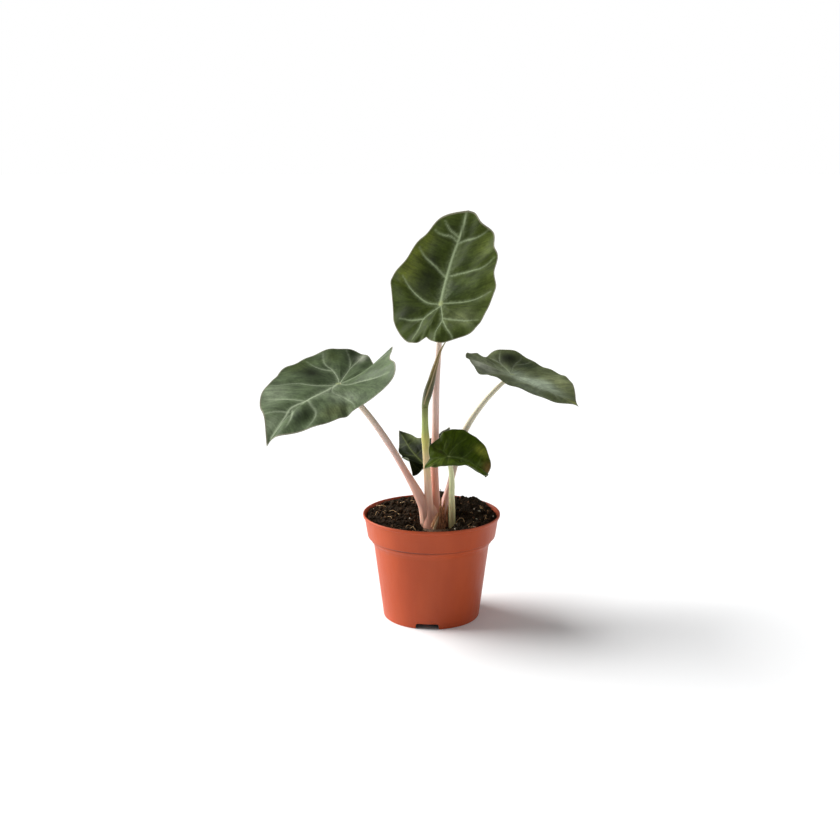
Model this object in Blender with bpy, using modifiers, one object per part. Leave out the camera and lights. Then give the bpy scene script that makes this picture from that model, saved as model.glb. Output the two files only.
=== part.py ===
"""A young alocasia in a 12 cm plastic nursery pot.

Metres, +Z up, standing on Z = 0. The origin lies on the floor under the middle of the
whole plant's box, and the empty "pot_axis" carries everything to where the pot stands.
Sizes below are in millimetres, measured from the pot's own axis and from the floor.
"""

import math

import bmesh
import bpy
import numpy as np
from mathutils import Euler, Vector

MM = 0.001
GAP = 0.35  # clear space left between neighbours that touch on the real plant
POT_AXIS = (8.5, 1.5)

# Pot: a thin moulded wall with a lip, a wide band under it, and a raised floor on a foot ring.
RIM_R = 60.0
RIM_Z = 92.6
LIP_H = 2.4
BAND_TOP_R = 58.6
BAND_LOW_R = 55.8
BAND_LOW_Z = 72.0
NECK_R = 50.2
NECK_Z = 65.5
BASE_R = 42.2
WALL = 1.4
FLOOR_Z = 6.4
FOOT_NOTCHES = 3
NOTCH_W = 20.0
NOTCH_H = 5.0
NOTCH_TURN = -5.5  # degrees that the front notch lies to the left of the front
DRAIN_HOLES = 6
DRAIN_R = 4.0
DRAIN_RING_R = 24.0

# Root ball and the rootstock that sits in it.
SOIL_FIT = 0.5
SOIL_EDGE_Z = 85.5
SOIL_MID_Z = 86.5
CROWN_AT = (5.5, -2.5)
CROWN_R = 17.5
CROWN_Z = 81.5
CROWN_FOOT_Z = 40.0
STALK_FOOT_Z = 82.6

# Leaves.
BLADE_T = 1.0
STEPS_ROUND = 42
RINGS = (0.12, 0.32, 0.52, 0.7, 0.86, 1.0)
LIFT_POWER = 1.7
TIP_POWER = 3.0
TIP_SPREAD = 22.0
STATIONS = (0, 9, 26, 50, 78, 106, 132, 155, 180)  # degrees round the joint, from the tip

# A leaf lies along +Y of its own frame with its upper side to +Z. "at" is its joint with
# the petiole, and "pose" its azimuth, pitch and roll in degrees. The margin is drawn as
# (across, along, lift) at each of the STATIONS, down the left side and down the right.
LEAVES = {
    "top": {
        "at": (7.3, -4.0, 275.6),
        "pose": (-20, 47, 2),
        "tip": (7, 91, 14),
        "left": [(-15, 86, 12), (-32, 67, 5), (-49, 34, 0), (-48, 13, -1), (-40, -14, -6), (-29, -32, -6), (-15, -41, -2)],
        "right": [(14, 87, 14), (32, 70, 11), (42, 40, 9), (46, 11, 6), (42, -14, 5), (34, -31, 4), (13, -44, 5)],
        "notch": (-4, -35, 2),
    },
    "left": {
        "at": (-78.6, -15.0, 209.8),
        "pose": (140, -6.5, -8),
        "tip": (-8, 92, -28),
        "left": [(-16, 91, -18), (-34, 74, -11), (-44, 47, -7), (-45, 25, -3), (-47, -16, 20), (-30, -33, 23), (-16, -50, 24)],
        "right": [(6, 82, -14), (28, 65, -8), (44, 37, -1), (52, 10, 3), (48, -18, 9), (35, -41, 13), (18, -52, 9)],
        "notch": (-4, -41, 7),
    },
    "right": {
        "at": (69.7, 20.0, 211.8),
        "pose": (-127, -13, -2),
        "tip": (4, 73, -4),
        "left": [(-6, 65, -5), (-25, 52, -1), (-40, 33, 4), (-44, 10, 3), (-41, -12, 8), (-29, -33, 10), (-15, -41, 1)],
        "right": [(12, 73, -2), (28, 58, 0), (38, 34, 2), (43, 10, 5), (39, -9, 3), (29, -26, 7), (18, -39, 7)],
        "notch": (3, -37, 8),
    },
    "small_front": {
        "at": (14.1, -26.0, 149.0),
        "pose": (-101, -6, 19),
        "tip": (1, 33, -15),
        "left": [(-5, 36, -9), (-16, 31, 0), (-24, 20, 7), (-27, 6, 11), (-25, -7, 10), (-19, -13, 5), (-11, -19, 1)],
        "right": [(7, 36, -8), (16, 32, -2), (19, 20, 7), (23, 5, 6), (22, -7, 3), (18, -14, -2), (12, -17, -6)],
        "notch": (1, -16, -4),
    },
    "small_rear": {
        "at": (-6.7, 35.0, 128.2),
        "pose": (24, 12, -24),
        "tip": (3, 61, 5),
        "left": [(-2, 52, 1), (-9, 38, 0), (-12, 20, 5), (-16, 6, 12), (-14, -7, 17), (-17, -19, 13), (-18, -25, 10)],
        "right": [(9, 54, 2), (13, 42, 2), (19, 25, 5), (28, 10, 14), (32, -3, 23), (26, -16, 22), (13, -25, 15)],
        "notch": (-5, -18, 9),
    },
}

# Stalks as (x, y, z, radius) from the crown upwards. Each ends under its own leaf.
STALKS = {
    "top": [(6.1, 0.1, 82.6, 3.8), (4.6, 2, 103, 3.6), (2.6, 3, 132, 3.3), (3.4, 3, 169, 3.1), (3.8, 3, 203, 2.9),
            (6.1, 1, 239, 2.3)],
    "left": [(-4.5, -8.4, 82.6, 4.6), (-5.9, -8.8, 95, 4.3), (-9.1, -8.6, 109.6, 3.5), (-18, -8, 125.5, 2.8),
             (-40, -7.4, 156, 2.4), (-63, -9, 187, 2.1)],
    "right": [(10.8, 6.6, 82.6, 3.6), (11.5, 7.2, 97, 3.4), (13.8, 8.1, 113, 3.0), (20.2, 9, 131, 2.6),
              (32, 11, 164, 2.2), (48, 14, 186.5, 1.9)],
    "small_front": [(15.6, -11.2, 82.6, 3.2), (17, -15, 109.6, 2.6), (16.6, -20, 134, 2.2)],
    "small_rear": [(1.0, 9.4, 82.6, 2.8), (-0.9, 14, 100, 2.4), (-4, 26, 117, 1.9)],
}
STALK_END_R = {"top": 1.8, "left": 2.0, "right": 1.6, "small_front": 1.5, "small_rear": 1.4}
NEW_STALK = [(-1.4, 0.9, 82.6, 3.3), (-2.8, -3.1, 107, 3.2), (-4.1, -6.9, 134, 3.2), (-5.4, -7.8, 161, 3.5),
             (-5.7, -8.1, 172, 3.1), (-5.8, -8.3, 187, 2.8)]
NEW_ROLL = [(-5.8, -8.3, 187.9, 2.9), (-3.4, -8.3, 199, 3.9), (0, -8.3, 211.5, 3.2), (3.3, -8.3, 224.4, 2.2),
            (7.5, -8.3, 237.3, 1.2), (12.7, -8.3, 245.8, 0.4)]

# Old leaf bases in the crown.
DRY_SHEATH_TURNS = (-35, 75)  # degrees round the tallest stalk, from the front
DRY_SHEATH_R = 4.4
DRY_SHEATH_T = 0.6
DRY_SHEATH_Z = (82.0, 102.0)
OLD_SCALE_FOOT = (1.2, -14.2, 82.9)
OLD_SCALE_TIP = (5.8, -13.4, 96.0)
OLD_SCALE_W = 1.9
OLD_SCALE_T = 0.6

COLOURS = {
    "pot": (0.42, 0.13, 0.075),
    "soil": (0.030, 0.021, 0.015),
    "rootstock": (0.20, 0.12, 0.07),
    "blade": (0.045, 0.075, 0.028),
    "petiole": (0.43, 0.22, 0.16),
    "new_leaf": (0.24, 0.26, 0.07),
    "dry": (0.33, 0.19, 0.11),
}
ROUGHNESS = {"pot": 0.4, "soil": 0.95, "rootstock": 0.8, "blade": 0.35, "petiole": 0.4, "new_leaf": 0.35, "dry": 0.8}


def material(kind):
    """One Principled material for each kind of stuff, made the first time it is asked for."""
    if kind in bpy.data.materials:
        return bpy.data.materials[kind]
    made = bpy.data.materials.new(kind)
    made.use_nodes = True
    surface = made.node_tree.nodes["Principled BSDF"]
    surface.inputs["Base Color"].default_value = (*COLOURS[kind], 1)
    surface.inputs["Roughness"].default_value = ROUGHNESS[kind]
    surface.inputs["Metallic"].default_value = 0
    return made


def collection(name):
    made = bpy.data.collections.new(name)
    bpy.context.scene.collection.children.link(made)
    return made


def place(name, data, kind=None, at=(0, 0, 0)):
    """An object of the plant, or a hidden cutter if it has no kind, at a place measured from the pot's axis."""
    obj = bpy.data.objects.new(name, data)
    (PLANT if kind else CUTTERS).objects.link(obj)
    obj.parent = AXIS
    obj.location = Vector(at) * MM
    if kind:
        data.materials.append(material(kind))
    else:
        obj.hide_render = True
        obj.display_type = "WIRE"
    return obj


def turned(name, profile, kind=None, at=(0, 0, 0), steps=96):
    """A solid turned about a vertical axis, from (radius, z) points that run down its outer side."""
    mesh = bpy.data.meshes.new(name)
    mesh.from_pydata([(r * MM, 0, z * MM) for r, z in profile], [(i, i + 1) for i in range(len(profile) - 1)], [])
    obj = place(name, mesh, kind, at)
    screw = obj.modifiers.new("turn", "SCREW")
    screw.angle = 2 * math.pi
    screw.steps = steps
    screw.render_steps = steps
    screw.use_merge_vertices = True
    screw.merge_threshold = 0.00005
    screw.use_smooth_shade = True
    return obj


def cut(obj, cutter):
    step = obj.modifiers.new("cut by " + cutter.name, "BOOLEAN")
    step.operation = "DIFFERENCE"
    step.solver = "EXACT"
    step.object = cutter


def stalk(name, stations, kind):
    """A round stalk whose thickness follows its stations."""
    curve = bpy.data.curves.new(name, "CURVE")
    curve.dimensions = "3D"
    curve.bevel_depth = MM
    curve.bevel_resolution = 3
    curve.resolution_u = 5
    curve.use_fill_caps = True
    line = curve.splines.new("BEZIER")
    line.bezier_points.add(len(stations) - 1)
    for point, (x, y, z, radius) in zip(line.bezier_points, stations):
        point.co = Vector((x, y, z)) * MM
        point.radius = radius
        point.handle_left_type = "AUTO"
        point.handle_right_type = "AUTO"
    return place(name, curve, kind)


def spline(knots, values, at):
    """A cubic through the values, its slope at each taken from the neighbours."""
    step = np.diff(knots)
    rise = np.diff(values, axis=0) / step[:, None]
    slope = np.empty_like(values)
    slope[1:-1] = (rise[:-1] * step[1:, None] + rise[1:] * step[:-1, None]) / (step[1:] + step[:-1])[:, None]
    slope[0] = 1.5 * rise[0] - 0.5 * slope[1]
    slope[-1] = 1.5 * rise[-1] - 0.5 * slope[-2]
    i = np.clip(np.searchsorted(knots, at, side="right") - 1, 0, len(knots) - 2)
    t = ((at - knots[i]) / step[i])[:, None]
    reach = step[i][:, None]
    return (
        (2 * t**3 - 3 * t**2 + 1) * values[i]
        + (t**3 - 2 * t**2 + t) * reach * slope[i]
        + (3 * t**2 - 2 * t**3) * values[i + 1]
        + (t**3 - t**2) * reach * slope[i + 1]
    )


def margin(leaf, angles):
    """The leaf's edge at angles from -180, left of the notch, to 180, right of it."""
    knots = np.array(STATIONS, float)
    left = np.array([leaf["tip"], *leaf["left"], leaf["notch"]], float)
    right = np.array([leaf["tip"], *leaf["right"], leaf["notch"]], float)
    on_left = spline(knots, left, np.abs(angles))
    on_right = spline(knots, right, np.abs(angles))
    return np.where(angles[:, None] <= 0, on_left, on_right)


def thicken(obj, thickness, offset=-1):
    sheet = obj.modifiers.new("sheet", "SOLIDIFY")
    sheet.thickness = thickness * MM
    sheet.offset = offset


def blade(name, leaf):
    """A leaf's sheet: rings out from the joint, rising more towards the margin, then thickened downwards."""
    angles = np.linspace(-180, 180, STEPS_ROUND, endpoint=False)
    edge = margin(leaf, angles)
    power = LIFT_POWER + (TIP_POWER - LIFT_POWER) * np.exp(-((angles / TIP_SPREAD) ** 2))
    work = bmesh.new()
    joint = work.verts.new((0, 0, 0))
    rings = []
    for q in RINGS:
        lift = edge[:, 2] * q**power
        rings.append([work.verts.new((x * q * MM, y * q * MM, z * MM)) for (x, y, _), z in zip(edge, lift)])
    for k in range(STEPS_ROUND):
        after = (k + 1) % STEPS_ROUND
        work.faces.new((joint, rings[0][after], rings[0][k]))
        for inner, outer in zip(rings, rings[1:]):
            work.faces.new((inner[k], inner[after], outer[after], outer[k]))
    mesh = bpy.data.meshes.new(name)
    work.to_mesh(mesh)
    work.free()
    mesh.shade_smooth()
    obj = place(name, mesh, "blade", leaf["at"])
    obj.rotation_mode = "YXZ"
    azimuth, pitch, roll = (math.radians(a) for a in leaf["pose"])
    obj.rotation_euler = (pitch, roll, azimuth)
    thicken(obj, BLADE_T)
    return obj


def petiole(name, key, leaf):
    """A stalk from the crown to just under its leaf's joint."""
    end_r = STALK_END_R[key]
    azimuth, pitch, roll = (math.radians(a) for a in leaf["pose"])
    below = Euler((pitch, roll, azimuth), "YXZ").to_matrix() @ Vector((0, 0, -1))
    joint = Vector(leaf["at"])
    tilt = (joint - Vector(STALKS[key][-1][:3])).normalized().cross(below).length
    end = joint + below * (BLADE_T + GAP + end_r * tilt)
    return stalk(name, [*STALKS[key], (*end, end_r)], "petiole")


def pot_inside():
    """The pot's inner face from the rim down to the floor."""
    taper = (NECK_R - BASE_R) / NECK_Z
    inner_floor = FLOOR_Z + WALL
    return [
        (BAND_TOP_R - WALL, RIM_Z - 0.5),
        (BAND_LOW_R - WALL, BAND_LOW_Z + 0.6),
        (NECK_R - WALL, NECK_Z + 0.6),
        (BASE_R + taper * (inner_floor + 1) - WALL, inner_floor + 1),
        (BASE_R + taper * inner_floor - WALL - 1, inner_floor),
    ]


def pot():
    taper = (NECK_R - BASE_R) / NECK_Z
    lip_z = RIM_Z - LIP_H
    outside = [
        (BAND_TOP_R - WALL + 0.5, RIM_Z), (RIM_R - 0.5, RIM_Z), (RIM_R, RIM_Z - 0.5), (RIM_R, lip_z + 0.5),
        (RIM_R - 0.4, lip_z), (BAND_TOP_R, lip_z - 0.3), (BAND_LOW_R, BAND_LOW_Z), (BAND_LOW_R - 0.5, BAND_LOW_Z - 0.6),
        (NECK_R, NECK_Z), (BASE_R + taper * 0.6, 0.6), (BASE_R - 0.5, 0),
    ]
    foot = [(BASE_R - WALL, 0), (BASE_R + taper * (FLOOR_Z - 1) - WALL, FLOOR_Z - 1), (BASE_R - WALL - 1, FLOOR_Z)]
    inside = [(0, FLOOR_Z + WALL), *reversed(pot_inside())]
    body = turned("pot", [*inside, *outside, *foot, (0, FLOOR_Z)], "pot", steps=84)
    for i in range(FOOT_NOTCHES):
        cut(body, notch_cutter(i))
    for i in range(DRAIN_HOLES):
        cut(body, drain_cutter(i))


def notch_cutter(i):
    """A block with rounded corners that stands across the foot ring and below the floor line."""
    turn = math.radians(NOTCH_TURN - 90 + 360 * i / FOOT_NOTCHES)
    mesh = bpy.data.meshes.new("notch_cutter_%d" % i)
    work = bmesh.new()
    bmesh.ops.create_cube(work, size=1)
    bmesh.ops.scale(work, verts=work.verts, vec=(14 * MM, NOTCH_W * MM, 2 * NOTCH_H * MM))
    along = [e for e in work.edges if abs((e.verts[0].co - e.verts[1].co).x) > 0.01]
    bmesh.ops.bevel(work, geom=along, offset=2.4 * MM, segments=3, profile=0.5, affect="EDGES")
    work.to_mesh(mesh)
    work.free()
    obj = place(mesh.name, mesh, at=(BASE_R * math.cos(turn), BASE_R * math.sin(turn), 0))
    obj.rotation_euler = (0, 0, turn)
    return obj


def drain_cutter(i):
    turn = 2 * math.pi * (i + 0.5) / DRAIN_HOLES
    mesh = bpy.data.meshes.new("drain_cutter_%d" % i)
    work = bmesh.new()
    bmesh.ops.create_cone(
        work, cap_ends=True, segments=24, radius1=DRAIN_R * MM, radius2=DRAIN_R * MM, depth=6 * WALL * MM
    )
    work.to_mesh(mesh)
    work.free()
    at = (DRAIN_RING_R * math.cos(turn), DRAIN_RING_R * math.sin(turn), FLOOR_Z + WALL / 2)
    return place(mesh.name, mesh, at=at)


def crown_side(grow):
    """The rootstock's side from its top edge down to its foot, grown outwards for the well it sits in."""
    return [
        (CROWN_R - 0.6 + grow, CROWN_Z - 1.2),
        (CROWN_R + grow, CROWN_Z - 6),
        (CROWN_R - 1.5 + grow, CROWN_Z - 12),
        (12.5 + grow, CROWN_FOOT_Z + 18),
        (10.5 + grow, CROWN_FOOT_Z + 6),
        (7 + grow, CROWN_FOOT_Z + 1 - grow),
        (0, CROWN_FOOT_Z - grow),
    ]


def rootstock():
    top = [(0, CROWN_Z), (CROWN_R - 1.6, CROWN_Z)]
    turned("rootstock", [*top, *crown_side(0)], "rootstock", at=(*CROWN_AT, 0), steps=48)


def soil():
    """The root ball: growing mix with the fine roots in it, hollowed for the rootstock."""
    side = [(r - SOIL_FIT, z) for r, z in pot_inside()[1:]]
    side[-1] = (side[-1][0], side[-1][1] + GAP)
    rim = BAND_LOW_R - WALL - SOIL_FIT
    top = [(0, SOIL_MID_Z), (24, SOIL_MID_Z - 0.5), (34, SOIL_EDGE_Z - 0.5), (46, SOIL_MID_Z), (rim + 1, SOIL_EDGE_Z)]
    body = turned("soil", [*top, (rim + 1.4, SOIL_EDGE_Z - 1), *side, (0, side[-1][1])], "soil", steps=60)
    above = SOIL_MID_Z + 4
    well = [(0, above), (CROWN_R + GAP, above), (CROWN_R + GAP, CROWN_Z), *crown_side(GAP)]
    cut(body, turned("crown_cutter", well, at=(*CROWN_AT, 0), steps=48))


def sheet(name, kind, grid, thickness):
    """A thin piece from rows of points."""
    work = bmesh.new()
    rows = [[work.verts.new(Vector(p) * MM) for p in row] for row in grid]
    for low, high in zip(rows, rows[1:]):
        for i in range(len(low) - 1):
            work.faces.new((low[i], low[i + 1], high[i + 1], high[i]))
    mesh = bpy.data.meshes.new(name)
    work.to_mesh(mesh)
    work.free()
    mesh.shade_smooth()
    obj = place(name, mesh, kind)
    thicken(obj, thickness, offset=1)


def dry_sheath():
    """The papery remains of an old sheath, standing against the tallest stalk and narrowing upwards."""
    low, high = DRY_SHEATH_Z
    first, last = DRY_SHEATH_TURNS
    route = np.array(STALKS["top"])
    grid = []
    for t in np.linspace(0, 1, 9):
        z = low + (high - low) * t
        x = np.interp(z, route[:, 2], route[:, 0])
        y = np.interp(z, route[:, 2], route[:, 1])
        half = (last - first) / 2 * (1 - 0.55 * t * t)
        turns = np.radians(np.linspace((first + last) / 2 - half, (first + last) / 2 + half, 11))
        grid.append([(x + DRY_SHEATH_R * math.sin(a), y - DRY_SHEATH_R * math.cos(a), z) for a in turns])
    sheet("dry_sheath", "dry", grid, DRY_SHEATH_T)


def old_scale():
    """One small dead scale leaf, a pointed sliver at the front of the crown."""
    foot, tip = Vector(OLD_SCALE_FOOT), Vector(OLD_SCALE_TIP)
    grid = []
    for t in np.linspace(0, 1, 9):
        half = OLD_SCALE_W * (1 - t) ** 0.8 + 0.25
        middle = foot.lerp(tip, t)
        grid.append([middle + Vector((u * half, 0.5 * u * u * half, -0.4 * u * half)) for u in np.linspace(-1, 1, 5)])
    sheet("old_scale", "dry", grid, OLD_SCALE_T)


for leftover in list(bpy.data.objects):
    bpy.data.objects.remove(leftover)
PLANT = collection("potted_alocasia")
CUTTERS = collection("cutters")
AXIS = bpy.data.objects.new("pot_axis", None)
AXIS.location = Vector((*POT_AXIS, 0)) * MM
PLANT.objects.link(AXIS)

pot()
soil()
rootstock()
for part, leaf in LEAVES.items():
    blade("blade_" + part, leaf)
    petiole("petiole_" + part, part, leaf)
stalk("new_leaf_stalk", NEW_STALK, "petiole")
stalk("new_leaf_roll", NEW_ROLL, "new_leaf")
dry_sheath()
old_scale()
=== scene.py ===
# %% [markdown]
# # A young alocasia in a nursery pot
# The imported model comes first. It fixes where every piece goes, so each finished piece below is
# built at the place its plain solid holds, and stands in for that solid.

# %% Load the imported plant
import math
import random

import bmesh
import bpy
import numpy as np
from mathutils import Euler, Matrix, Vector, noise


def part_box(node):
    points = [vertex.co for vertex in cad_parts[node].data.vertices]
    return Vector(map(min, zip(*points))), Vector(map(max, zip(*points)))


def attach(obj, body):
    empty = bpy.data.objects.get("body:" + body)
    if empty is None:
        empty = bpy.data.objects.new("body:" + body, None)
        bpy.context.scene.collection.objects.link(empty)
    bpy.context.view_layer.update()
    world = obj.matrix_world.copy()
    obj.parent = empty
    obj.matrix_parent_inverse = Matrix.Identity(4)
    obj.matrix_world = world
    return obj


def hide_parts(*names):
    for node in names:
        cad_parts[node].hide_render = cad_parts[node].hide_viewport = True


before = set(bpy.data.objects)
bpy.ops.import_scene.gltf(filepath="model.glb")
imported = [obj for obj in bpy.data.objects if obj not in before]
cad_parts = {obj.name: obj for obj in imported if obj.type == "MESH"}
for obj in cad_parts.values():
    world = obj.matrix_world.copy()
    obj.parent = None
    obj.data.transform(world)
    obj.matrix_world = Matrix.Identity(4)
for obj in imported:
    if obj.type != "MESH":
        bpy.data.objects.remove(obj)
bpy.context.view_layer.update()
print("packed nodes:", len(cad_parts))

# %% [markdown]
# Plants and pots are easiest to think of in millimetres, measured from the pot's own axis. The pot's
# box gives that axis, and one small function turns such a place into the scene's metres.

# %% Where the pot stands
MM = 0.001
pot_low, pot_high = (np.array(corner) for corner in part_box("pot"))
AXIS = np.array([*(pot_low + pot_high)[:2] / 2, 0.0])
RIM_Z = pot_high[2] / MM
SOIL_TOP_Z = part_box("soil")[1][2] / MM
print("pot axis at", AXIS.round(4), "rim at", round(RIM_Z, 1), "mm")


def to_scene(points):
    """Millimetres about the pot's axis, as metres in the scene."""
    return np.asarray(points, float) * MM + AXIS


# %% [markdown]
# Every finished piece is handled alike: it is linked, gets its material, moves with the plant's one
# body, and hides the plain solids it replaces.

# %% Handing a piece to the model
def finish_piece(name, mesh, material, finish, *nodes):
    obj = bpy.data.objects.new(name, mesh)
    bpy.context.scene.collection.objects.link(obj)
    mesh.materials.clear()
    mesh.materials.append(material)
    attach(obj, "root")
    if nodes:
        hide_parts(*nodes)
    print(name, "faces:", len(mesh.polygons))
    return obj


def mesh_of(name, points, faces, masks=None, smooth=True):
    """A mesh from points in millimetres, with any masks stored point by point."""
    mesh = bpy.data.meshes.new(name)
    mesh.from_pydata(to_scene(points).tolist(), [], faces)
    for key, values in (masks or {}).items():
        mesh.attributes.new(key, "FLOAT", "POINT").data.foreach_set("value", np.asarray(values, np.float32))
    if smooth:
        mesh.shade_smooth()
    mesh.update()
    return mesh


# %% [markdown]
# Smooth outlines come from a few drawn points. This cubic passes through all of them and takes its
# slope at each from the neighbours, so it never needs handles.

# %% A smooth line through drawn points
def spline(knots, values, at):
    step = np.diff(knots)
    rise = np.diff(values, axis=0) / step[:, None]
    slope = np.empty_like(values)
    slope[1:-1] = (rise[:-1] * step[1:, None] + rise[1:] * step[:-1, None]) / (step[1:] + step[:-1])[:, None]
    slope[0] = 1.5 * rise[0] - 0.5 * slope[1]
    slope[-1] = 1.5 * rise[-1] - 0.5 * slope[-2]
    i = np.clip(np.searchsorted(knots, at, side="right") - 1, 0, len(knots) - 2)
    t = ((at - knots[i]) / step[i])[:, None]
    reach = step[i][:, None]
    return (
        (2 * t**3 - 3 * t**2 + 1) * values[i]
        + (t**3 - 2 * t**2 + t) * reach * slope[i]
        + (3 * t**2 - 2 * t**3) * values[i + 1]
        + (t**3 - t**2) * reach * slope[i + 1]
    )


def through(points, count):
    """Evenly spaced steps along a smooth line. Columns past the third ride along."""
    values = np.array(points, float)
    width = min(3, values.shape[1])
    knots = np.r_[0, np.cumsum(np.linalg.norm(np.diff(values[:, :width], axis=0), axis=1))]
    if len(values) == 2:
        return values[0] + np.linspace(0, 1, count)[:, None] * (values[1] - values[0])
    return spline(knots, values, np.linspace(0, knots[-1], count))


def smooth_step(x):
    x = np.clip(x, 0, 1)
    return x * x * (3 - 2 * x)


# %% [markdown]
# The camera looks slightly down on the plant from the front. Its place is measured from the pot.

# %% Camera
VIEW_DISTANCE = 1040.0
VIEW_HEIGHT = 392.0
VIEW_SIDE = -10.1
VIEW_DOWN = 11.78
camera_data = bpy.data.cameras.new("camera")
camera_data.sensor_width = 36
camera_data.lens = 52.76
camera = bpy.data.objects.new("camera", camera_data)
camera.location = to_scene((VIEW_SIDE, -VIEW_DISTANCE, VIEW_HEIGHT))
camera.rotation_euler = (math.radians(90 - VIEW_DOWN), 0, 0)
bpy.context.scene.collection.objects.link(camera)
bpy.context.scene.camera = camera
print("camera at", [round(v, 3) for v in camera.location])

# %% [markdown]
# A few small helpers keep each material short: one adds a node, one joins two sockets, and one blends
# two colours by a mask.

# %% Node helpers
def rgb(r, g, b):
    """A colour given as it looks on screen, 0 to 255, turned into the light it stands for."""
    return tuple(((c / 255 + 0.055) / 1.055) ** 2.4 if c > 10 else c / 255 / 12.92 for c in (r, g, b)) + (1.0,)


def new_material(name):
    made = bpy.data.materials.new(name)
    made.use_nodes = True
    return made, made.node_tree, made.node_tree.nodes["Principled BSDF"]


def node(tree, kind, **settings):
    made = tree.nodes.new(kind)
    for key, value in settings.items():
        if key in made.inputs:
            made.inputs[key].default_value = value
        else:
            setattr(made, key, value)
    return made


def blend(tree, mask, first, second, how="MIX"):
    """Colour that goes from first to second as the mask goes from 0 to 1."""
    mix = tree.nodes.new("ShaderNodeMix")
    mix.data_type = "RGBA"
    mix.blend_type = how
    for value, socket in ((mask, mix.inputs[0]), (first, mix.inputs[6]), (second, mix.inputs[7])):
        if isinstance(value, bpy.types.NodeSocket):
            tree.links.new(value, socket)
        else:
            socket.default_value = value
    return mix.outputs[2]


def ramp(tree, value, low, high, to_low=0.0, to_high=1.0):
    """A number eased from to_low to to_high as value goes from low to high."""
    spread = node(tree, "ShaderNodeMapRange", interpolation_type="SMOOTHSTEP")
    tree.links.new(value, spread.inputs["Value"])
    for key, number in (("From Min", low), ("From Max", high), ("To Min", to_low), ("To Max", to_high)):
        spread.inputs[key].default_value = number
    return spread.outputs["Result"]


def times(tree, a, b, how="MULTIPLY"):
    math_node = node(tree, "ShaderNodeMath", operation=how)
    for value, socket in zip((a, b), math_node.inputs):
        if isinstance(value, bpy.types.NodeSocket):
            tree.links.new(value, socket)
        else:
            socket.default_value = value
    return math_node.outputs[0]


def mask_of(tree, key):
    return node(tree, "ShaderNodeAttribute", attribute_name=key).outputs["Fac"]


# %% [markdown]
# Grain at several sizes shows on leaves, stalks, pot and mix alike, so it is one node group. It takes a
# size in grains per metre and gives a soft cloud, a fine grain and a cell pattern for each to use.

# %% The shared grain group
def make_grain_group():
    tree = bpy.data.node_groups.new("grain", "ShaderNodeTree")
    tree.interface.new_socket("Per Metre", in_out="INPUT", socket_type="NodeSocketFloat")
    tree.interface.new_socket("Stretch", in_out="INPUT", socket_type="NodeSocketVector")
    for out in ("Cloud", "Fine", "Cells"):
        tree.interface.new_socket(out, in_out="OUTPUT", socket_type="NodeSocketFloat")
    inside, outside = tree.nodes.new("NodeGroupInput"), tree.nodes.new("NodeGroupOutput")
    place = tree.nodes.new("ShaderNodeTexCoord")
    stretch = node(tree, "ShaderNodeVectorMath", operation="MULTIPLY")
    tree.links.new(place.outputs["Object"], stretch.inputs[0])
    tree.links.new(inside.outputs["Stretch"], stretch.inputs[1])
    for out, factor, detail in (("Cloud", 0.15, 3.0), ("Fine", 1.0, 4.0)):
        pattern = node(tree, "ShaderNodeTexNoise", Detail=detail, Roughness=0.55)
        tree.links.new(stretch.outputs[0], pattern.inputs["Vector"])
        tree.links.new(times(tree, inside.outputs["Per Metre"], factor), pattern.inputs["Scale"])
        tree.links.new(pattern.outputs["Fac"], outside.inputs[out])
    cells = node(tree, "ShaderNodeTexVoronoi", feature="DISTANCE_TO_EDGE")
    tree.links.new(stretch.outputs[0], cells.inputs["Vector"])
    tree.links.new(inside.outputs["Per Metre"], cells.inputs["Scale"])
    tree.links.new(cells.outputs["Distance"], outside.inputs["Cells"])
    return tree


GRAIN = make_grain_group()


def grain(tree, per_metre, stretch=(1, 1, 1)):
    group = tree.nodes.new("ShaderNodeGroup")
    group.node_tree = GRAIN
    group.inputs["Per Metre"].default_value = per_metre
    group.inputs["Stretch"].default_value = stretch
    return group.outputs


def bump(tree, surface, height, distance, strength=1.0):
    made = node(tree, "ShaderNodeBump", Strength=strength, Distance=distance)
    tree.links.new(height, made.inputs["Height"])
    tree.links.new(made.outputs["Normal"], surface.inputs["Normal"])


print("shared group:", GRAIN.name)

# %% [markdown]
# ## Leaves
# A leaf blade is a thin sheet that rises, folds and droops in its own way, so it can't be one flat shape
# bent by a modifier. Its margin is drawn instead: nine directions round the joint with the stalk, each
# with how far across, how far along and how high the edge runs there. Rings from the joint out to
# that margin give the sheet. The numbers are those of the plain solids, and the waves that a real
# margin has between them are added as (direction, share of the drawn distance).

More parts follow.
